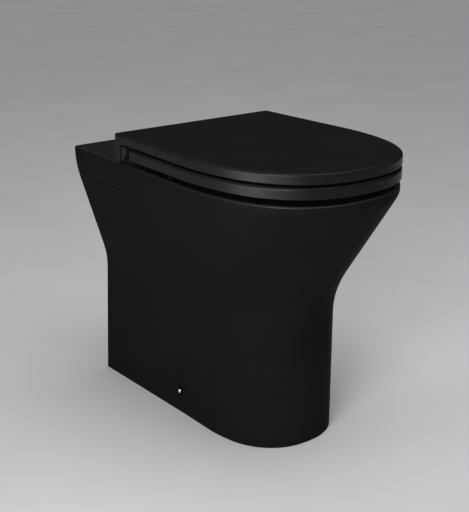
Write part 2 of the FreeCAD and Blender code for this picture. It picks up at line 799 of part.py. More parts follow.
def make_hinge(word, side):
    """Base, post, pin and the two brackets of one side."""
    post_low = "(Sizes.rim_height + Sizes.base_thick)"
    base = turned("hinge_base_" + word, [
        ("Sizes.stud_diameter / 2 + Sizes.stud_play", "0"),
        ("Sizes.base_diameter / 2", "0"),
        ("Sizes.base_diameter / 2", "Sizes.base_thick / 2"),
        ("Sizes.base_diameter / 2 - Sizes.base_thick / 2", "Sizes.base_thick"),
        ("Sizes.stud_diameter / 2 + Sizes.stud_play", "Sizes.base_thick")])
    keep(place(base, "%d * %s" % (side, POST_X), "-" + RISER_MIDDLE, "Sizes.rim_height"),
         "hinge_base_" + word)

    post_x = across("Sizes.post_width", POST_X, side)
    riser = box("riser_" + word, "Sizes.post_width", "Sizes.post_thick",
                "%s + Sizes.eye_radius - %s" % (AXIS_Z, post_low), post_x, "-" + RISER_FRONT, post_low)
    arm = box("arm_" + word, "Sizes.post_width", "%s - %s" % (RISER_FRONT, AXIS_REACH),
              "Sizes.arm_drop + Sizes.eye_radius", post_x, "-" + RISER_FRONT, "%s - Sizes.arm_drop" % AXIS_Z)
    eye = rod("eye_" + word, "Sizes.eye_radius", "Sizes.post_width",
              post_x, "-" + AXIS_REACH, AXIS_Z, ALONG_X)
    post_bore = rod("pin_hole_" + word, "Sizes.pin_diameter / 2 + Sizes.pin_play", "Sizes.post_width",
                    post_x, "-" + AXIS_REACH, AXIS_Z, ALONG_X)
    stud_bore = rod("stud_hole_" + word, "Sizes.stud_diameter / 2 + Sizes.pin_play", "Sizes.stud_grip",
                    "%d * %s" % (side, POST_X), "-" + RISER_MIDDLE, post_low)
    keep(cut("hinge_post_" + word, joined("post_form_" + word, [riser, arm, eye]), [post_bore, stud_bore]),
         "hinge_post_" + word)

    half_pin = "(Sizes.post_width / 2 + Sizes.side_play + Sizes.knuckle_length + Sizes.pin_end)"
    tip = "Sizes.pin_tip"
    pin = turned("hinge_pin_" + word, [
        ("0", "-" + half_pin),
        ("Sizes.pin_diameter / 2 - %s" % tip, "-" + half_pin),
        ("Sizes.pin_diameter / 2", "-%s + %s" % (half_pin, tip)),
        ("Sizes.pin_diameter / 2", "%s - %s" % (half_pin, tip)),
        ("Sizes.pin_diameter / 2 - %s" % tip, half_pin),
        ("0", half_pin)])
    keep(place(pin, "%d * %s" % (side, POST_X), "-" + AXIS_REACH, AXIS_Z, *ALONG_X), "hinge_pin_" + word)

    make_seat_bracket(word, side)
    make_lid_bracket(word, side)


def knuckle(name, x, side):
    """A bracket's barrel and the bore of its cartridge."""
    low_x = across("Sizes.knuckle_length", x, side)
    barrel = rod(name + "_barrel", "Sizes.knuckle_radius", "Sizes.knuckle_length",
                 low_x, "-" + AXIS_REACH, AXIS_Z, ALONG_X)
    bore = rod(name + "_bore", "Sizes.cartridge_radius + Sizes.pin_play", "Sizes.knuckle_length",
               low_x, "-" + AXIS_REACH, AXIS_Z, ALONG_X)
    return low_x, barrel, bore


def screw_holes(name, x, side, reach, low, height):
    """Clearance holes for a bracket's two screws."""
    holes = []
    for i, step in enumerate((-1, 1)):
        spot = "%d * (%s + %d * Sizes.screw_pitch / 2)" % (side, x, step)
        holes.append(rod("%s_hole_%d" % (name, i), "Sizes.screw_diameter / 2 + Sizes.screw_play", height,
                         spot, "-" + reach, low))
    return holes


def make_seat_bracket(word, side):
    """A barrel on the hinge line, a web down to the seat's underside and a plate screwed under the seat."""
    name = "seat_bracket_" + word
    low_x, barrel, bore = knuckle(name, SEAT_KNUCKLE_X, side)
    start = "(%s + Sizes.web_forward)" % AXIS_REACH
    low = "(%s - Sizes.bracket_thick)" % SEAT_LOW
    web = box(name + "_web", "Sizes.knuckle_length", "Sizes.bracket_web", "%s - %s" % (AXIS_Z, low),
              low_x, "-(%s + Sizes.bracket_web)" % start, low)
    finish = "(%s + Sizes.screw_inset / 2)" % SEAT_SCREW_REACH
    plate = box(name + "_plate", "Sizes.knuckle_length", "%s - %s" % (finish, start), "Sizes.bracket_thick",
                low_x, "-" + finish, low)
    holes = screw_holes(name, SEAT_KNUCKLE_X, side, SEAT_SCREW_REACH, low, "Sizes.bracket_thick")
    keep(cut(name, joined(name + "_form", [barrel, web, plate]), [bore] + holes), name)


def make_lid_bracket(word, side):
    """A barrel on the hinge line under a plate screwed to the lid's underside."""
    name = "lid_bracket_" + word
    low_x, barrel, bore = knuckle(name, LID_KNUCKLE_X, side)
    low = "(%s - Sizes.lid_bracket_thick)" % PLATE_LOW
    neck = box(name + "_neck", "Sizes.knuckle_length", "Sizes.knuckle_radius",
               "%s - %s" % (PLATE_LOW, AXIS_Z),
               low_x, "-(%s + Sizes.knuckle_radius / 2)" % AXIS_REACH, AXIS_Z)
    plate = box(name + "_plate", "Sizes.knuckle_length", "Sizes.lid_bracket_reach + Sizes.knuckle_radius / 2",
                "Sizes.lid_bracket_thick", low_x, "-(%s + Sizes.lid_bracket_reach)" % AXIS_REACH, low)
    holes = screw_holes(name, LID_KNUCKLE_X, side, LID_SCREW_REACH, low, "Sizes.lid_bracket_thick")
    keep(cut(name, joined(name + "_form", [barrel, neck, plate]), [bore] + holes), name)


def make_cartridge(name, x, side, collar):
    """A damper or a plain bush that fills a barrel and turns on the pin; a collar marks a damper."""
    inner = "Sizes.pin_diameter / 2 + Sizes.pin_play"
    half = "(Sizes.knuckle_length / 2)"
    profile = [(inner, "-" + half), ("Sizes.cartridge_radius", "-" + half)]
    if collar:
        waist = "Sizes.cartridge_radius - Sizes.damper_groove"
        groove = "(%s - Sizes.damper_collar)" % half
        profile += [("Sizes.cartridge_radius", "-" + groove), (waist, "-" + groove),
                    (waist, groove), ("Sizes.cartridge_radius", groove)]
    profile += [("Sizes.cartridge_radius", half), (inner, half)]
    body = turned(name, profile)
    keep(place(body, "%d * %s" % (side, x), "-" + AXIS_REACH, AXIS_Z, *ALONG_X), name)


def make_hinge_fixings():
    """Studs, deck bushes, washers and nuts that clamp the hinge posts to the deck."""
    clear = "Sizes.stud_diameter / 2 + Sizes.stud_play"
    stack = "(Sizes.washer_thick + Sizes.nut_thick + Sizes.stud_tail)"
    stud_top = "(Sizes.base_thick + Sizes.stud_grip + Sizes.deck_thickness)"
    hexagon = [("Sizes.nut_width / sqrt(3) * %s" % across_, "Sizes.nut_width / sqrt(3) * %s" % along)
               for across_, along in (("cos(0)", "0"), ("cos(60)", "sin(60)"), ("-cos(60)", "sin(60)"),
                                      ("-cos(0)", "0"), ("-cos(60)", "-sin(60)"), ("cos(60)", "-sin(60)"))]
    sets = {"hinge_studs": [], "deck_bushes": [], "hinge_washers": [], "hinge_nuts": []}
    for word, side in SIDES:
        x = "%d * %s" % (side, POST_X)
        y = "-" + RISER_MIDDLE
        stud = turned("hinge_stud_" + word, [("0", "-" + stack), ("Sizes.stud_diameter / 2", "-" + stack),
                                             ("Sizes.stud_diameter / 2", stud_top), ("0", stud_top)])
        sets["hinge_studs"].append(place(stud, x, y, DECK_LOW))
        bush = turned("deck_bush_" + word, tube_profile("Sizes.deck_hole / 2 - Sizes.stud_play", clear,
                                                        "0", "Sizes.deck_thickness"))
        sets["deck_bushes"].append(place(bush, x, y, DECK_LOW))
        washer = turned("hinge_washer_" + word, [
            (clear, "0"), ("Sizes.washer_diameter / 2 - Sizes.washer_thick", "0"),
            ("Sizes.washer_diameter / 2", "Sizes.washer_thick / 2"),
            ("Sizes.washer_diameter / 2", "Sizes.washer_thick"), (clear, "Sizes.washer_thick")])
        sets["hinge_washers"].append(place(washer, x, y, "%s - Sizes.washer_thick" % DECK_LOW))
        sets["hinge_nuts"].append(place(make_nut("hinge_nut_" + word, hexagon), x, y,
                                        "%s - Sizes.washer_thick - Sizes.nut_thick" % DECK_LOW))
    for label, members in sets.items():
        group(label, members)


def make_nut(name, hexagon):
    """A hexagon nut padded from its outline, with the stud's hole pocketed through it."""
    body = doc.addObject("PartDesign::Body", name)
    outline = sketch_on(body, name + "_outline", "XY_Plane")
    draw_outline(outline, hexagon)
    pad = body.newObject("PartDesign::Pad", name + "_pad")
    pad.Profile = outline
    pad.setExpression("Length", "Sizes.nut_thick")
    hole = sketch_on(body, name + "_hole", "XY_Plane")
    radius = "Sizes.stud_diameter / 2 + Sizes.pin_play"
    hole.addGeometry(Part.Circle(V(), V(0, 0, 1), num(radius)), False)
    hole.addConstraint(Sketcher.Constraint("Coincident", 0, 3, -1, 1))
    index = hole.addConstraint(Sketcher.Constraint("Radius", 0, num(radius)))
    hole.setExpression("Constraints[%d]" % index, radius)
    doc.recompute()
    pocket = body.newObject("PartDesign::Pocket", name + "_pocket")
    pocket.Profile = hole
    pocket.Type = "ThroughAll"
    pocket.Reversed = True
    body.Tip = pocket
    return body


def make_cover_screws(label, knuckle_x, reach, low, grip, bite):
    """The four screws of a pair of brackets, put in from below."""
    shank = "Sizes.screw_diameter / 2"
    tip = "%s + %s" % (grip, bite)
    members = []
    for word, side in SIDES:
        for step in (-1, 1):
            screw = turned("%s_%s_%d" % (label, word, len(members)), [
                ("0", "-Sizes.screw_head_thick"),
                ("Sizes.screw_crown / 2", "-Sizes.screw_head_thick"),
                ("Sizes.screw_head / 2", "-Sizes.screw_head_thick / 2"),
                ("Sizes.screw_head / 2", "0"), (shank, "0"),
                (shank, "%s - %s" % (tip, shank)), ("0", tip)])
            x = "%d * (%s + %d * Sizes.screw_pitch / 2)" % (side, knuckle_x, step)
            members.append(place(screw, x, "-" + reach, low))
    group(label, members)


def rubber_foot(name, diameter, tall, x, reach, low):
    """A round rubber foot, its lower edge eased."""
    radius = "%s / 2" % diameter
    foot = turned(name, [("0", "0"), ("%s - Sizes.buffer_round" % radius, "0"),
                         (radius, "Sizes.buffer_round"), (radius, tall), ("0", tall)])
    return place(foot, str(x), str(-reach), low)


def make_buffers():
    """Rubber feet under the seat, front and rear, and under the lid."""
    lid_members = []
    rise = "(%s - %s - Sizes.buffer_play)" % (PLATE_LOW, SEAT_TOP)
    tall = "(Sizes.seat_gap - Sizes.buffer_play)"
    for pair, (x, reach) in buffer_spots().items():
        seat_members = []
        for word, side in SIDES:
            spot = (side * x, reach)
            seat_members.append(rubber_foot("seat_buffer_%s_%s" % (pair, word), "Sizes.buffer_diameter",
                                            tall, *spot, "Sizes.rim_height + Sizes.buffer_play"))
            lid_members.append(rubber_foot("lid_buffer_%s_%s" % (pair, word), "Sizes.lid_buffer_diameter",
                                           rise, *spot, "%s + Sizes.buffer_play" % SEAT_TOP))
        group("seat_buffers_" + pair, seat_members)
    group("lid_buffers", lid_members)


# Floor fixing.

def make_floor_fixing(word, side):
    """The angle bracket inside the foot on one side."""
    name = "floor_bracket_" + word
    length, thick = "Sizes.floor_bracket_length", "Sizes.floor_bracket_thick"
    y = "-Sizes.fix_reach - %s / 2" % length
    middle = "(%s - Sizes.floor_bracket_width / 2)" % BRACKET_X
    upright = "(%s - %s / 2)" % (BRACKET_X, thick)
    sole = box(name + "_sole", "Sizes.floor_bracket_width", length, thick,
               across("Sizes.floor_bracket_width", middle, side), y, "0")
    wall = box(name + "_wall", thick, length, "Sizes.fix_height + Sizes.floor_bracket_rise",
               across(thick, upright, side), y, "0")
    boss_middle = "(%s - Sizes.floor_boss_length / 2)" % BRACKET_X
    boss_x = across("Sizes.floor_boss_length", boss_middle, side)
    boss = rod(name + "_boss", "Sizes.floor_boss_diameter / 2", "Sizes.floor_boss_length",
               boss_x, "-Sizes.fix_reach", "Sizes.fix_height", ALONG_X)
    bore = rod(name + "_bore", "Sizes.side_screw_diameter / 2 + Sizes.screw_play", "Sizes.floor_boss_length",
               boss_x, "-Sizes.fix_reach", "Sizes.fix_height", ALONG_X)
    holes = [rod("%s_floor_hole_%d" % (name, i), "Sizes.floor_hole / 2", thick, "%d * %s" % (side, middle),
                 "-Sizes.fix_reach + %d * Sizes.floor_hole_pitch / 2" % step, "0")
             for i, step in enumerate((-1, 1))]
    keep(cut(name, joined(name + "_form", [sole, wall, boss]), [bore] + holes), name)


def make_side_fixings():
    """Side screws with their sleeves through the china, and the caps over their heads."""
    sleeves, screws = [], []
    flange = "(Sizes.fix_play + Sizes.sleeve_flange_thick)"
    bore = "Sizes.side_screw_diameter / 2 + Sizes.screw_play"
    body = "Sizes.fix_hole / 2 - Sizes.fix_play"
    for word, side in SIDES:
        turn = ALONG_X if side > 0 else AGAINST_X
        spot = ("%d * %s" % (side, FIX_X), "-Sizes.fix_reach", "Sizes.fix_height")
        sleeve = turned("side_sleeve_" + word, [
            (bore, "-Sizes.china_wall"), (body, "-Sizes.china_wall"), (body, "Sizes.fix_play"),
            ("Sizes.sleeve_flange / 2", "Sizes.fix_play"), ("Sizes.sleeve_flange / 2", flange),
            (bore, flange)])
        sleeves.append(place(sleeve, *spot, *turn))
        tip = "-(Sizes.china_wall + Sizes.floor_bracket_play + Sizes.floor_boss_length)"
        head = "(%s + Sizes.side_screw_head_thick)" % flange
        screw = turned("side_screw_" + word, [
            ("0", tip), ("Sizes.side_screw_diameter / 2", tip), ("Sizes.side_screw_diameter / 2", flange),
            ("Sizes.side_screw_head / 2", flange),
            ("Sizes.side_screw_head / 2", "%s - Sizes.side_screw_round" % head),
            ("Sizes.side_screw_crown / 2", head), ("0", head)])
        screws.append(place(screw, *spot, *turn))
        inside = "Sizes.cap_diameter / 2 - Sizes.cap_wall"
        roof = "Sizes.cap_proud - Sizes.cap_wall"
        cap = turned("screw_cap_" + word, [
            (inside, "Sizes.fix_play"), ("Sizes.cap_diameter / 2", "Sizes.fix_play"),
            ("Sizes.cap_diameter / 2", "Sizes.cap_rim_proud"),
            ("Sizes.cap_shoulder / 2", "Sizes.cap_shoulder_proud"),
            ("Sizes.cap_crown / 2", "Sizes.cap_proud"), ("0", "Sizes.cap_proud"),
            ("0", roof), ("Sizes.cap_crown / 2", roof), (inside, "Sizes.cap_rim_proud")])
        keep(place(cap, *spot, *turn), "screw_cap_" + word)
    group("side_sleeves", sleeves)
    group("side_screws", screws)


# Flush fittings.

def make_inlet_seal():
    """The rubber cone that takes the flush pipe, with its flange against the back of the inlet."""
    outer = "Sizes.inlet_bore / 2 - Sizes.seal_play"
    inner = "Sizes.seal_bore / 2"
    seal = turned("inlet_seal", [
        (inner, "-Sizes.seal_length"), (outer, "-Sizes.seal_length"), (outer, "0"),
        ("Sizes.seal_flange / 2", "0"), ("Sizes.seal_flange / 2", "Sizes.seal_flange_thick / 2"),
        ("Sizes.seal_flange / 2 - Sizes.seal_flange_thick / 2", "Sizes.seal_flange_thick"),
        (inner, "Sizes.seal_flange_thick")])
    keep(place(seal, "0", "-Sizes.inlet_reach", "Sizes.inlet_height", *ALONG_Y), "inlet_seal")


def make_splitter():
    """The hood in the inlet's mouth that sends the flush water round both sides of the bowl."""
    outer = "(Sizes.inlet_bore / 2 - Sizes.seal_play)"
    finish = "(Sizes.bowl_back + Sizes.splitter_proud)"
    shell = rod("splitter_shell", outer, "Sizes.splitter_length",
                "0", "-" + finish, "Sizes.inlet_height", ALONG_Y)
    hollow = rod("splitter_hollow", "%s - Sizes.splitter_wall" % outer, "Sizes.splitter_length",
                 "0", "-%s + Sizes.splitter_wall" % finish, "Sizes.inlet_height", ALONG_Y)
    window_y = "-%s + Sizes.splitter_wall" % finish
    wide = "Sizes.splitter_window_width"
    windows = [
        box("splitter_side_windows", "Sizes.inlet_bore", "Sizes.splitter_window", wide,
            "-Sizes.inlet_bore / 2", window_y, "Sizes.inlet_height - %s / 2" % wide),
        box("splitter_low_window", wide, "Sizes.splitter_window", "Sizes.inlet_bore / 2",
            "-%s / 2" % wide, window_y, "Sizes.inlet_height - Sizes.inlet_bore / 2")]
    keep(cut("flush_splitter", shell, [hollow] + windows), "flush_splitter")


make_china()
make_seat()
make_lid()
for word, side in SIDES:
    make_hinge(word, side)
    make_floor_fixing(word, side)
make_cartridge("seat_damper", SEAT_KNUCKLE_X, 1, True)
make_cartridge("seat_bush", SEAT_KNUCKLE_X, -1, False)
make_cartridge("lid_damper", LID_KNUCKLE_X, -1, True)
make_cartridge("lid_bush", LID_KNUCKLE_X, 1, False)
make_hinge_fixings()
make_cover_screws("seat_screws", SEAT_KNUCKLE_X, SEAT_SCREW_REACH, "%s - Sizes.bracket_thick" % SEAT_LOW,
                  "Sizes.bracket_thick", "Sizes.screw_bite")
make_cover_screws("lid_screws", LID_KNUCKLE_X, LID_SCREW_REACH, "%s - Sizes.lid_bracket_thick" % PLATE_LOW,
                  "Sizes.lid_bracket_thick", "Sizes.lid_screw_bite")
make_buffers()
make_side_fixings()
make_inlet_seal()
make_splitter()
doc.recompute()

for obj in doc.Objects:
    if "Invalid" in obj.State or "Error" in obj.State:
        raise RuntimeError("%s failed: %s" % (obj.Label, obj.State))
os.makedirs("parts", exist_ok=True)
for obj in nodes:
    shape = obj.Shape
    if shape.isNull() or not shape.isValid() or shape.Volume <= 0:
        raise RuntimeError("%s has no valid shape" % obj.Label)
    shape.exportStep("parts/%s.step" % obj.Label)
    print("%-24s solids %d  volume %.1f cm3" % (obj.Label, len(shape.Solids), shape.Volume / 1000))
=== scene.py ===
"""Looks of a black back to wall toilet: a glazed pan, a seat ring and a wrap-over lid on soft-close hinges.

Metres, in the part's own frame: +X right, +Y into the wall, +Z up, the origin on the floor in the wall plane.
"""
import json
import math

import bmesh
import bpy
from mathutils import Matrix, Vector

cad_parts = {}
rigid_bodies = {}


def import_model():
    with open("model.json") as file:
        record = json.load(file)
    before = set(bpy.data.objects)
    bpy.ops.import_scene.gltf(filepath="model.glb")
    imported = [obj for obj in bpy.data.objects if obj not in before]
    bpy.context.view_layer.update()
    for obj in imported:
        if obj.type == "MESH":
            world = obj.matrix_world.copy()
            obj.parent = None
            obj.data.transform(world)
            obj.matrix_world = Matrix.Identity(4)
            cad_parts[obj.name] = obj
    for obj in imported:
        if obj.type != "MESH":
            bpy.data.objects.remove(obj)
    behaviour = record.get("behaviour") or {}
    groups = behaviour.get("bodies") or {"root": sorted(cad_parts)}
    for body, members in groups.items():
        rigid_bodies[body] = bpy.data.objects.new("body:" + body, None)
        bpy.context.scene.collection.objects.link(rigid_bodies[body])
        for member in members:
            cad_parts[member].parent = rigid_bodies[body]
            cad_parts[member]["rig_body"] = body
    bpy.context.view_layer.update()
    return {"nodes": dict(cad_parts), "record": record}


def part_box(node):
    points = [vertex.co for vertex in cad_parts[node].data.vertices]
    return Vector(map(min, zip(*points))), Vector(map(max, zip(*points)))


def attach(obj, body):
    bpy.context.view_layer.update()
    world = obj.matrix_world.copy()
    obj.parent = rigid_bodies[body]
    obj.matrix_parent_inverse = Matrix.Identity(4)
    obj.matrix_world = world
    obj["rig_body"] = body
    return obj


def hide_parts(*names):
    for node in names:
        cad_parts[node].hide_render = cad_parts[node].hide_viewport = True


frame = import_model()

MM = 0.001
SLOTS = {row["node"]: row["material_slot"] for row in frame["record"]["subparts"]}


# Finishes.

# The sockets of the Mix node that carry colours: two in, one out.
MIX_FIRST, MIX_SECOND, MIX_COLOUR = 6, 7, 2
# Most of a noise lies between these values.
NOISE_LOW, NOISE_HIGH = 0.3, 0.7

# The gloss of the china's rounded rim starts a little under its top and is full a little higher.
RIM_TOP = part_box("pan")[1][2]
RIM_GLOSS_START, RIM_GLOSS_FULL = 3.6 * MM, 2.2 * MM


class Wire:
    """A socket of a node tree. Arithmetic on it adds Math nodes."""

    def __init__(self, graph, socket):
        self.graph = graph
        self.socket = socket

    def math(self, operation, first, second):
        """A Math node on two values."""
        return self.graph.node("ShaderNodeMath", {"operation": operation}, {0: first, 1: second})

    def __add__(self, other):
        return self.math("ADD", self, other)

    def __rsub__(self, other):
        return self.math("SUBTRACT", other, self)

    def __mul__(self, other):
        return self.math("MULTIPLY", self, other)


class Graph:
    """A node tree that is written as calls."""

    def __init__(self, tree):
        self.tree = tree
        tree.nodes.clear()

    def node(self, kind, settings=None, inputs=None, output=0):
        """One node: its settings first, then the values or links of its sockets."""
        made = self.tree.nodes.new(kind)
        for key, value in (settings or {}).items():
            setattr(made, key, value)
        for key, value in (inputs or {}).items():
            if isinstance(value, (Wire, list)):
                for wire in value if isinstance(value, list) else [value]:
                    self.tree.links.new(wire.socket, made.inputs[key])
            else:
                made.inputs[key].default_value = value
        return Wire(self, made.outputs[output]) if made.outputs else None


class Finish(Graph):
    """A material made of nodes, with a Principled shader as its surface."""

    def __init__(self, name, material=None):
        self.material = material or bpy.data.materials.new(name)
        self.material.use_nodes = True
        super().__init__(self.material.node_tree)

    def place(self, scale=(1, 1, 1)):
        """The point on the piece, in metres, stretched by a scale."""
        spot = self.node("ShaderNodeTexCoord", output="Object")
        return self.node("ShaderNodeMapping", {}, {"Vector": spot, "Scale": scale})

    def height(self, spot):
        """How high a point is, or how steeply a direction rises."""
        return self.node("ShaderNodeSeparateXYZ", {}, {"Vector": spot}, "Z")

    def noise(self, spot, scale=1.0, detail=2.0):
        """A noise in space; a higher scale is finer."""
        return self.node("ShaderNodeTexNoise", {}, {"Vector": spot, "Scale": scale, "Detail": detail})

    def band(self, value, low, high, out_low=0.0, out_high=1.0):
        """A value spread from one range onto another, held inside it."""
        return self.node("ShaderNodeMapRange", {"clamp": True},
                         {"Value": value, "From Min": low, "From Max": high,
                          "To Min": out_low, "To Max": out_high})

    def drift(self, noise, low=0.0, high=1.0):
        """A noise spread over a range."""
        return self.band(noise, NOISE_LOW, NOISE_HIGH, low, high)

    def blend(self, share, first, second):
        """A colour between two."""
        return self.node("ShaderNodeMix", {"data_type": "RGBA"},
                         {"Factor": share, MIX_FIRST: first, MIX_SECOND: second}, MIX_COLOUR)

    def bump(self, height, depth, strength=0.5):
        """A normal for a relief of a depth in metres."""
        return self.node("ShaderNodeBump", {}, {"Height": height, "Distance": depth, "Strength": strength})

    def surface(self, **sockets):
        """The material, its shader's sockets named with underscores for spaces."""
        shader = self.node("ShaderNodeBsdfPrincipled", {},
                           {key.replace("_", " "): value for key, value in sockets.items()})
        self.node("ShaderNodeOutputMaterial", {}, {"Surface": shader})
        return self.material


def grey(value, warm=0.0):
    """A near-grey colour, warmer or cooler."""
    return (value * (1 + warm), value, value * (1 - warm), 1.0)


def black_glaze():
    """Satin black glaze: a soft orange peel, slow changes of gloss, faint speckles and a glossier rim."""
    finish = Finish("black_glaze")
    spot = finish.place()
    slow = finish.noise(spot, scale=7.0)
    peel = finish.noise(spot, scale=260.0, detail=1.0)
    fleck = finish.band(finish.noise(spot, scale=1400.0, detail=1.0), 0.66, 0.8)
    tone = finish.blend(finish.drift(slow), grey(0.0080), grey(0.0102))
    colour = finish.blend(fleck * 0.5, tone, grey(0.015))
    gloss = finish.drift(slow, 0.46, 0.52) + fleck * 0.1
    rim = finish.band(finish.height(spot), RIM_TOP - RIM_GLOSS_START, RIM_TOP - RIM_GLOSS_FULL)
    return finish.surface(Base_Color=colour, Roughness=gloss, Normal=finish.bump(peel, 0.09 * MM),
                          Specular_IOR_Level=0.008, Coat_Weight=rim * 0.8, Coat_Roughness=0.34)


def black_cover():
    """Pressed black seat plastic: smooth and satin, with the finest grain and a slow drift of gloss."""
    finish = Finish("black_cover")
    spot = finish.place()
    slow = finish.noise(spot, scale=9.0)
    grain = finish.noise(spot, scale=2200.0, detail=1.0)
    colour = finish.blend(finish.drift(slow), grey(0.0078, -0.03), grey(0.0098, -0.03))
    return finish.surface(Base_Color=colour, Roughness=finish.drift(slow, 0.34, 0.37),
                          Normal=finish.bump(grain, 0.02 * MM), Specular_IOR_Level=0.12)


def chrome():
    """Polished chrome plating with faint finger haze."""
    finish = Finish("chrome")
    haze = finish.noise(finish.place(), scale=60.0, detail=3.0)
    colour = finish.blend(finish.band(haze, 0.35, 0.65), grey(0.70), grey(0.78))
    gloss = finish.band(haze, 0.35, 0.75, 0.07, 0.19)
    return finish.surface(Base_Color=colour, Metallic=1.0, Roughness=gloss)


def zinc_steel():
    """Zinc-plated steel, drawn along X."""
    finish = Finish("zinc_steel")
    drawn = finish.noise(finish.place((30.0, 900.0, 900.0)))
    spangle = finish.noise(finish.place(), scale=240.0)
    colour = finish.blend(finish.drift(spangle), grey(0.42, 0.01), grey(0.56, -0.01))
    return finish.surface(Base_Color=colour, Metallic=1.0, Roughness=finish.drift(drawn, 0.28, 0.42),
                          Normal=finish.bump(drawn, 0.02 * MM, 0.4))


def black_rubber():
    """Moulded black rubber with a dry bloom."""
    finish = Finish("black_rubber")
    spot = finish.place()
    bloom = finish.noise(spot, scale=90.0, detail=3.0)
    grain = finish.noise(spot, scale=1800.0, detail=1.0)
    colour = finish.blend(finish.band(bloom, 0.35, 0.7), grey(0.002), grey(0.0036))
    return finish.surface(Base_Color=colour, Roughness=finish.drift(bloom, 0.62, 0.8),
                          Normal=finish.bump(grain, 0.04 * MM), Specular_IOR_Level=0.0)


def white_nylon():
    """Off-white moulded nylon, a little waxy, with faint flow marks."""
    finish = Finish("white_nylon")
    flow = finish.noise(finish.place((20.0, 90.0, 60.0)), detail=3.0)
    grain = finish.noise(finish.place(), scale=900.0, detail=1.0)
    colour = finish.blend(finish.drift(flow), grey(0.62, 0.04), grey(0.71, 0.03))
    return finish.surface(Base_Color=colour, Roughness=finish.drift(flow, 0.38, 0.5),
                          Normal=finish.bump(grain, 0.03 * MM))


def grey_damper():
    """Mid-grey damper barrels with a fine turned texture."""
    finish = Finish("grey_damper")
    rings = finish.noise(finish.place((1600.0, 8.0, 8.0)), detail=1.0)
    tone = finish.noise(finish.place(), scale=70.0)
    colour = finish.blend(finish.drift(tone), grey(0.16), grey(0.2))
    return finish.surface(Base_Color=colour, Roughness=finish.drift(rings, 0.3, 0.42),
                          Normal=finish.bump(rings, 0.03 * MM, 0.4))


def black_fitting():
    """Black moulded plastic of the hidden fittings, lightly textured."""
    finish = Finish("black_fitting")
    spot = finish.place()
    cast = finish.noise(spot, scale=600.0)
    slow = finish.noise(spot, scale=25.0)
    colour = finish.blend(finish.drift(slow), grey(0.010), grey(0.017))
    return finish.surface(Base_Color=colour, Roughness=finish.drift(slow, 0.45, 0.6),
                          Normal=finish.bump(cast, 0.05 * MM))


FINISHES = {
    "black_glaze": black_glaze(),
    "black_cover": black_cover(),
    "chrome": chrome(),
    "steel": zinc_steel(),
    "black_rubber": black_rubber(),
    "white_nylon": white_nylon(),
    "grey_damper": grey_damper(),
    "black_fitting": black_fitting(),
}


def dress_nodes():
    """Every CAD node takes the finish of its own material slot."""
    for node, slot in SLOTS.items():
        mesh = frame["nodes"][node].data
        mesh.materials.clear()
        mesh.materials.append(FINISHES[slot])


dress_nodes()


# Detail pieces. Their sizes are in millimetres.

# Edges under the first angle are dropped before a form is eased, and edges over the second are eased.
FLAT_ANGLE, SHARP_ANGLE = 0.5, 50
# Corners of a CAD mesh that lie this near are one.
SAME_SPOT = 0.002 * MM


class Layout(Graph):
    """A Geometry Nodes tree that sets a piece out at points, each turned by the point's own angles."""

    def __init__(self, name, **inputs):
        super().__init__(bpy.data.node_groups.new(name, "GeometryNodeTree"))
        sockets = self.tree.interface
        sockets.new_socket("Points", in_out="INPUT", socket_type="NodeSocketGeometry")
        self.keys = {}
        for label, kind in dict(inputs, Pattern="Object").items():
            made = sockets.new_socket(label, in_out="INPUT", socket_type="NodeSocket" + kind)
            self.keys[label] = made.identifier
        sockets.new_socket("Geometry", in_out="OUTPUT", socket_type="NodeSocketGeometry")
        self.entry = self.tree.nodes.new("NodeGroupInput")

    def given(self, label):
        """An input of the tree."""
        return Wire(self, self.entry.outputs[label])

    def pattern(self):
        """The turned form that is set out."""
        return self.node("GeometryNodeObjectInfo", {}, {"Object": self.given("Pattern")}, "Geometry")

    def vector(self, x, y, z):
        """A vector from three values."""
        return self.node("ShaderNodeCombineXYZ", {}, {"X": x, "Y": y, "Z": z})

    def raised(self, geometry, z):
        """A form moved up."""
        return self.node("GeometryNodeTransform", {},
                         {"Geometry": geometry, "Translation": self.vector(0.0, 0.0, z)})

    def close(self, piece):
        """Set the piece out and make the copies real."""
        turn = self.node("GeometryNodeInputNamedAttribute", {"data_type": "FLOAT_VECTOR"}, {"Name": "turn"})
        turn = self.node("FunctionNodeEulerToRotation", {}, {"Euler": turn})
        copies = self.node("GeometryNodeInstanceOnPoints", {},
                           {"Points": self.given("Points"), "Instance": piece, "Rotation": turn})
        copies = self.node("GeometryNodeRealizeInstances", {}, {"Geometry": copies})
        self.node("NodeGroupOutput", {}, {"Geometry": copies})
        return self


def plain_layout():
    """A turned form, set out as it is."""
    layout = Layout("turned_set")
    return layout.close(layout.pattern())


def cross_head_layout():
    """Screws with a cross recess sunk into the underside of the head."""
    layout = Layout("cross_head_set", Span="Float", Width="Float", Depth="Float", Head="Float")
    screw = layout.pattern()
    span, width, depth = [layout.given(label) for label in ("Span", "Width", "Depth")]
    for x, y in ((span, width), (width, span)):
        bar = layout.node("GeometryNodeMeshCube", {}, {"Size": layout.vector(x, y, depth * 2)})
        bar = layout.raised(bar, 0 - layout.given("Head"))
        screw = layout.node("GeometryNodeMeshBoolean", {"operation": "DIFFERENCE", "solver": "EXACT"},
                            {"Mesh 1": screw, "Mesh 2": bar})
    return layout.close(screw)


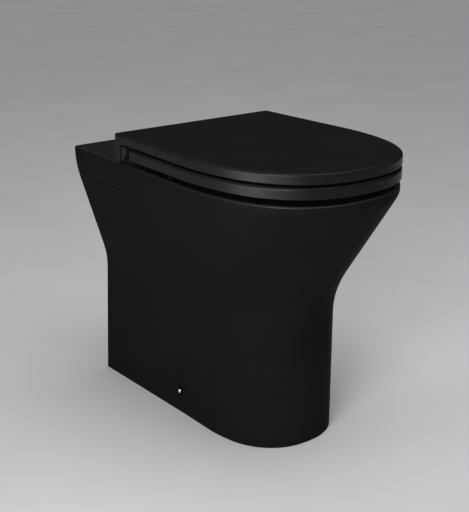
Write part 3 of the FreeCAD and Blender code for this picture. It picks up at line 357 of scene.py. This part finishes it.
def threaded_layout():
    """Studs with a thread that winds up from the lower end."""
    layout = Layout("threaded_set", Radius="Float", Pitch="Float", Turns="Float", Depth="Float",
                    Start="Float")
    radius, pitch, turns = [layout.given(label) for label in ("Radius", "Pitch", "Turns")]
    line = layout.node("GeometryNodeCurveSpiral", {},
                       {"Resolution": 20, "Rotations": turns, "Start Radius": radius, "End Radius": radius,
                        "Height": pitch * turns})
    line = layout.raised(line, layout.given("Start"))
    ridge = layout.node("GeometryNodeCurvePrimitiveCircle", {},
                        {"Resolution": 4, "Radius": layout.given("Depth")})
    thread = layout.node("GeometryNodeCurveToMesh", {},
                         {"Curve": line, "Profile Curve": ridge, "Fill Caps": True})
    return layout.close(layout.node("GeometryNodeJoinGeometry", {}, {"Geometry": [layout.pattern(), thread]}))


def lathe(profile, sides):
    """A form turned round Z from pairs of radius and height; a profile off the axis leaves a bore."""
    work = bmesh.new()
    rings = []
    for radius, height in profile:
        turns = [2 * math.pi * i / sides for i in range(sides if radius else 1)]
        rings.append([
            work.verts.new((radius * MM * math.cos(turn), radius * MM * math.sin(turn), height * MM))
            for turn in turns])
    bored = profile[0][0] > 0
    for low, high in zip(rings, rings[1:] + rings[:1] if bored else rings[1:]):
        for i in range(sides):
            j = (i + 1) % sides
            corners = [low[i % len(low)], low[j % len(low)], high[j % len(high)], high[i % len(high)]]
            work.faces.new(list(dict.fromkeys(corners)))
    return work


def arc(middle, radius, start, stop, steps=5):
    """Points of a profile on an arc, between two angles in degrees."""
    turns = [math.radians(start + (stop - start) * i / steps) for i in range(steps + 1)]
    return [(middle[0] + radius * math.cos(turn), middle[1] + radius * math.sin(turn)) for turn in turns]


def quarter(steps):
    """Angles from nought up to a right angle, in radians."""
    return [math.pi / 2 * i / steps for i in range(steps + 1)]


def mesh_object(name, work, crease=35):
    """An object from a bmesh, its normals outwards, smooth up to a crease angle."""
    bmesh.ops.recalc_face_normals(work, faces=work.faces)
    mesh = bpy.data.meshes.new(name)
    work.to_mesh(mesh)
    work.free()
    mesh.shade_smooth()
    mesh.set_sharp_from_angle(angle=math.radians(crease))
    obj = bpy.data.objects.new(name, mesh)
    bpy.context.scene.collection.objects.link(obj)
    return obj


def stand_for(obj, *nodes):
    """The piece takes the finish, the body and the place of CAD nodes."""
    slot = SLOTS[nodes[0]]
    obj.data.materials.append(FINISHES[slot])
    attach(obj, frame["nodes"][nodes[0]]["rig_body"])
    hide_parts(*nodes)


def merged(node):
    """A copy of a CAD node's mesh with its loose triangles joined."""
    work = bmesh.new()
    work.from_mesh(frame["nodes"][node].data)
    bmesh.ops.remove_doubles(work, verts=work.verts, dist=SAME_SPOT)
    return work


def solid_boxes(node):
    """The lowest and the highest corner of each solid of a CAD node, from left to right."""
    work = merged(node)
    left = set(work.verts)
    boxes = []
    while left:
        reached = [left.pop()]
        points = []
        while reached:
            vert = reached.pop()
            points.append(vert.co / MM)
            near = {edge.other_vert(vert) for edge in vert.link_edges} & left
            left -= near
            reached.extend(near)
        axes = list(zip(*points))
        boxes.append(([min(axis) for axis in axes], [max(axis) for axis in axes]))
    work.free()
    return sorted(boxes)


def middle(box):
    """The middle of a box."""
    low, high = box
    return [(a + b) / 2 for a, b in zip(low, high)]


def standing_spots(boxes, rise=0.0):
    """A spot on the axis of each box, a rise above its underside."""
    return [(middle(box)[0], middle(box)[1], box[0][2] + rise) for box in boxes]


def set_out(layout, name, profile, spots, turns=None, sides=48, **sizes):
    """One plain mesh of a turned form at each spot; sizes are the layout's own inputs."""
    pattern = mesh_object(name + "_pattern", lathe(profile, sides))
    mesh = bpy.data.meshes.new(name)
    mesh.from_pydata([Vector(spot) * MM for spot in spots], [], [])
    angles = mesh.attributes.new("turn", "FLOAT_VECTOR", "POINT")
    for item, turn in zip(angles.data, turns or [(0, 0, 0)] * len(spots)):
        item.vector = turn
    carrier = bpy.data.objects.new(name + "_spots", mesh)
    bpy.context.scene.collection.objects.link(carrier)
    changer = carrier.modifiers.new(name, "NODES")
    changer.node_group = layout.tree
    changer[layout.keys["Pattern"]] = pattern
    for label, value in sizes.items():
        changer[layout.keys[label]] = value * MM if label != "Turns" else value
    made = bpy.data.meshes.new_from_object(carrier.evaluated_get(bpy.context.evaluated_depsgraph_get()))
    work = bmesh.new()
    work.from_mesh(made)
    for spare in (carrier, pattern):
        bpy.data.objects.remove(spare)
    bpy.data.meshes.remove(made)
    return mesh_object(name, work)


def softened(node, width):
    """A CAD node's form with its sharp edges eased."""
    work = merged(node)
    bmesh.ops.dissolve_limit(work, angle_limit=math.radians(FLAT_ANGLE), verts=work.verts, edges=work.edges)
    sharp = [edge for edge in work.edges
             if len(edge.link_faces) == 2 and edge.calc_face_angle() > math.radians(SHARP_ANGLE)]
    bmesh.ops.bevel(work, geom=sharp, offset=width * MM, offset_type="OFFSET", segments=2, profile=0.5,
                    affect="EDGES", clamp_overlap=False)
    stand_for(mesh_object(node + "_eased", work, crease=30), node)


def foot_profile(radius, tall):
    """A rubber foot: a domed tread, a waist groove and a plate against what carries it."""
    edge, dome, flat, waist = 2.0, 0.4, radius - 4.2, radius - 0.8
    tread = [(0, 0), (flat, 0.15)] + arc((radius - edge, dome + edge), edge, -90, 0)
    groove = [(radius, tall - 3.4), (waist, tall - 2.9), (waist, tall - 2.0), (radius, tall - 1.5)]
    return tread + groove + [(radius, tall), (0, tall)]


def make_feet():
    """The buffers under the seat and the lid."""
    for node in ("seat_buffers_front", "seat_buffers_rear", "lid_buffers"):
        boxes = solid_boxes(node)
        low, high = boxes[0]
        profile = foot_profile((high[0] - low[0]) / 2, high[2] - low[2])
        stand_for(set_out(TURNED, node + "_feet", profile, standing_spots(boxes)), node)


def make_cover_screws():
    """The screws that hold the brackets, with domed heads and pointed ends."""
    head, tall, dome_share, shank, point = 4.0, 2.2, 0.55, 2.0, 2.0
    recess = {"Span": 5.2, "Width": 0.9, "Depth": 0.9}
    dome = [(head * math.sin(turn), -tall * (dome_share * math.cos(turn) + 1 - dome_share))
            for turn in quarter(6)[1:]]
    for node in ("seat_screws", "lid_screws"):
        boxes = solid_boxes(node)
        low, high = boxes[0]
        tip = high[2] - low[2] - tall
        profile = [(0, -tall)] + dome + [(head, 0), (shank, 0), (shank, tip - point), (0, tip)]
        stand_for(set_out(CROSS_HEAD, node + "_cross_head", profile, standing_spots(boxes, tall), sides=32,
                          Head=tall, **recess), node)


def make_studs():
    """The studs that hold the hinges to the deck."""
    boxes = solid_boxes("hinge_studs")
    low, high = boxes[0]
    tall, radius, core, pitch, chamfer, start = high[2] - low[2], 3.0, 2.55, 1.0, 0.5, 0.6
    profile = [(0, 0), (core - chamfer, 0), (core, chamfer), (core, tall - chamfer), (core - chamfer, tall),
               (0, tall)]
    stand_for(set_out(THREADED, "hinge_studs_threaded", profile, standing_spots(boxes), sides=32, Radius=core,
                      Pitch=pitch, Turns=(tall - 2 * start) / pitch, Depth=radius - core, Start=start),
              "hinge_studs")


def make_screw_caps():
    """Over each side screw a small polished dome in a black collar."""
    spots, turns = [], []
    for box in solid_boxes("screw_cap_left") + solid_boxes("screw_cap_right"):
        side = 1 if middle(box)[0] > 0 else -1
        spots.append((box[0 if side > 0 else 1][0], *middle(box)[1:]))
        turns.append((0, side * math.pi / 2, 0))
    bore, outer, top, bore_round, outer_round = 3.7, 7.9, 3.4, 0.9, 1.5
    collar = ([(bore, 0), (outer, 0)] + arc((outer - outer_round, top - outer_round), outer_round, 0, 90)
              + arc((bore + bore_round, top - bore_round), bore_round, 90, 180))
    ring = set_out(TURNED, "screw_cap_collars", collar, spots, turns)
    ring.data.materials.append(FINISHES["black_rubber"])
    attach(ring, "pan")
    radius, base, shoulder, rise = 3.6, 1.6, 2.8, 1.9
    crown = [(radius * math.cos(turn), shoulder + rise * math.sin(turn)) for turn in quarter(8)[:-1]]
    dome = [(0, base), (radius, base)] + crown + [(0, shoulder + rise)]
    stand_for(set_out(TURNED, "screw_cap_domes", dome, spots, turns), "screw_cap_left", "screw_cap_right")


def make_inlet_seal():
    """The rubber seal of the flush pipe: three lips in its bore and a ribbed flange."""
    low, high = box = solid_boxes("inlet_seal")[0]
    flange, length = (high[0] - low[0]) / 2, high[1] - low[1]
    body, bore, root, thick, edge, bevel = 27.3, 22.0, 25.0, 5.0, 2.0, 1.5
    first_lip, lip_pitch, first_rib, rib_pitch, rib_deep = 5.0, 9.0, 3.0, 3.4, 0.9
    lip = [(root, 0), (bore, 1.5), (bore + 0.8, 2.5), (root, 4.0)]
    rib = [(0, 0), (0.9, rib_deep), (2.2, rib_deep), (3.0, 0)]
    lips, ribs = [], []
    for i in range(3):
        start = length - thick - first_lip - lip_pitch * i
        lips += [(radius, start - drop) for radius, drop in lip]
        rim = flange - first_rib - rib_pitch * i
        ribs += [(rim - inset, length - drop) for inset, drop in rib]
    mouth = [(bore + bevel, length), (bore, length - bevel), (root, length - 4.0)]
    profile = ([(root, 0), (body, 0), (body, length - thick), (flange, length - thick)]
               + arc((flange - edge, length - edge), edge, 0, 90) + ribs + mouth + lips)
    spot = (middle(box)[0], low[1], middle(box)[2])
    stand_for(set_out(TURNED, "inlet_seal_lipped", profile, [spot], [(-math.pi / 2, 0, 0)], sides=64),
              "inlet_seal")


TURNED, CROSS_HEAD, THREADED = plain_layout(), cross_head_layout(), threaded_layout()
make_feet()
make_cover_screws()
make_studs()
make_screw_caps()
make_inlet_seal()
for side in ("left", "right"):
    softened("hinge_post_" + side, width=0.8)
    for bracket in ("seat_bracket_", "lid_bracket_", "floor_bracket_"):
        softened(bracket + side, width=0.6)
softened("hinge_nuts", width=0.6)


# Stage.

def pale_floor():
    """A matt pale grey, a little uneven."""
    finish = Finish("pale_floor")
    tone = finish.noise(finish.place(), scale=3.0)
    colour = finish.blend(finish.drift(tone), grey(0.72), grey(0.76))
    return finish.surface(Base_Color=colour, Roughness=0.9, Specular_IOR_Level=0.1)


def make_floor():
    """A large square, a hair under the foot of the pan."""
    half, sink = 9.0, 0.3 * MM
    mesh = bpy.data.meshes.new("floor")
    corners = [(-half, -half, -sink), (half, -half, -sink), (half, half, -sink), (-half, half, -sink)]
    mesh.from_pydata(corners, [], [(0, 1, 2, 3)])
    mesh.materials.append(pale_floor())
    floor = bpy.data.objects.new("floor", mesh)
    bpy.context.scene.collection.objects.link(floor)


def soft_box(name, spot, target, width, height, watts, colour, spread=180):
    """A large soft lamp that faces a point, with a grid that narrows its beam."""
    lamp = bpy.data.lights.new(name, "AREA")
    lamp.shape = "RECTANGLE"
    lamp.size = width
    lamp.size_y = height
    lamp.energy = watts
    lamp.color = colour
    lamp.spread = math.radians(spread)
    obj = bpy.data.objects.new(name, lamp)
    obj.location = spot
    obj.rotation_euler = (Vector(target) - Vector(spot)).to_track_quat("-Z", "Y").to_euler()
    obj.visible_camera = False
    bpy.context.scene.collection.objects.link(obj)
    return obj


def make_world():
    """A dim studio that is lighter overhead."""
    studio = Finish("studio", bpy.data.worlds.new("studio"))
    bpy.context.scene.world = studio.material
    rise = studio.height(studio.node("ShaderNodeTexCoord", output="Generated"))
    air = studio.blend(studio.band(rise, 0.42, 0.95), (0.013, 0.014, 0.016, 1.0), (0.70, 0.71, 0.73, 1.0))
    light = studio.node("ShaderNodeBackground", {}, {"Color": air})
    studio.node("ShaderNodeOutputWorld", {}, {"Surface": light})


def make_lamps():
    """A wide lamp above, a key at the front left, and a warm strip low on the left for reflections only."""
    soft_box("top_wash", spot=(0.3, -0.9, 2.6), target=(0, -0.3, 0.3), width=2.2, height=2.2, watts=20,
             colour=(0.97, 0.98, 1.0))
    soft_box("front_key", spot=(-1.38, -1.23, 0.66), target=(-0.1, -0.45, 0.4), width=0.8, height=0.6,
             watts=5.2, colour=(0.99, 0.99, 1.0), spread=80)
    strip = soft_box("warm_strip", spot=(-2.25, -0.45, 0.33), target=(0, -0.4, 0.46), width=1.2, height=0.25,
                     watts=6.0, colour=(1.0, 0.97, 0.92), spread=60)
    strip.visible_diffuse = False


def make_camera():
    """The photograph's view: from the front left, a little above the lid."""
    look_down, heading = 18.741, -37.762
    lens = bpy.data.cameras.new("camera")
    lens.sensor_width = 36.0
    lens.lens = 73.5
    camera = bpy.data.objects.new("camera", lens)
    camera.location = (-1.0827, -1.6662, 0.8811)
    camera.rotation_euler = (math.radians(90 - look_down), 0, math.radians(heading))
    bpy.context.scene.collection.objects.link(camera)
    bpy.context.scene.camera = camera


make_floor()
make_world()
make_lamps()
make_camera()
bpy.context.scene.view_settings.view_transform = "Standard"
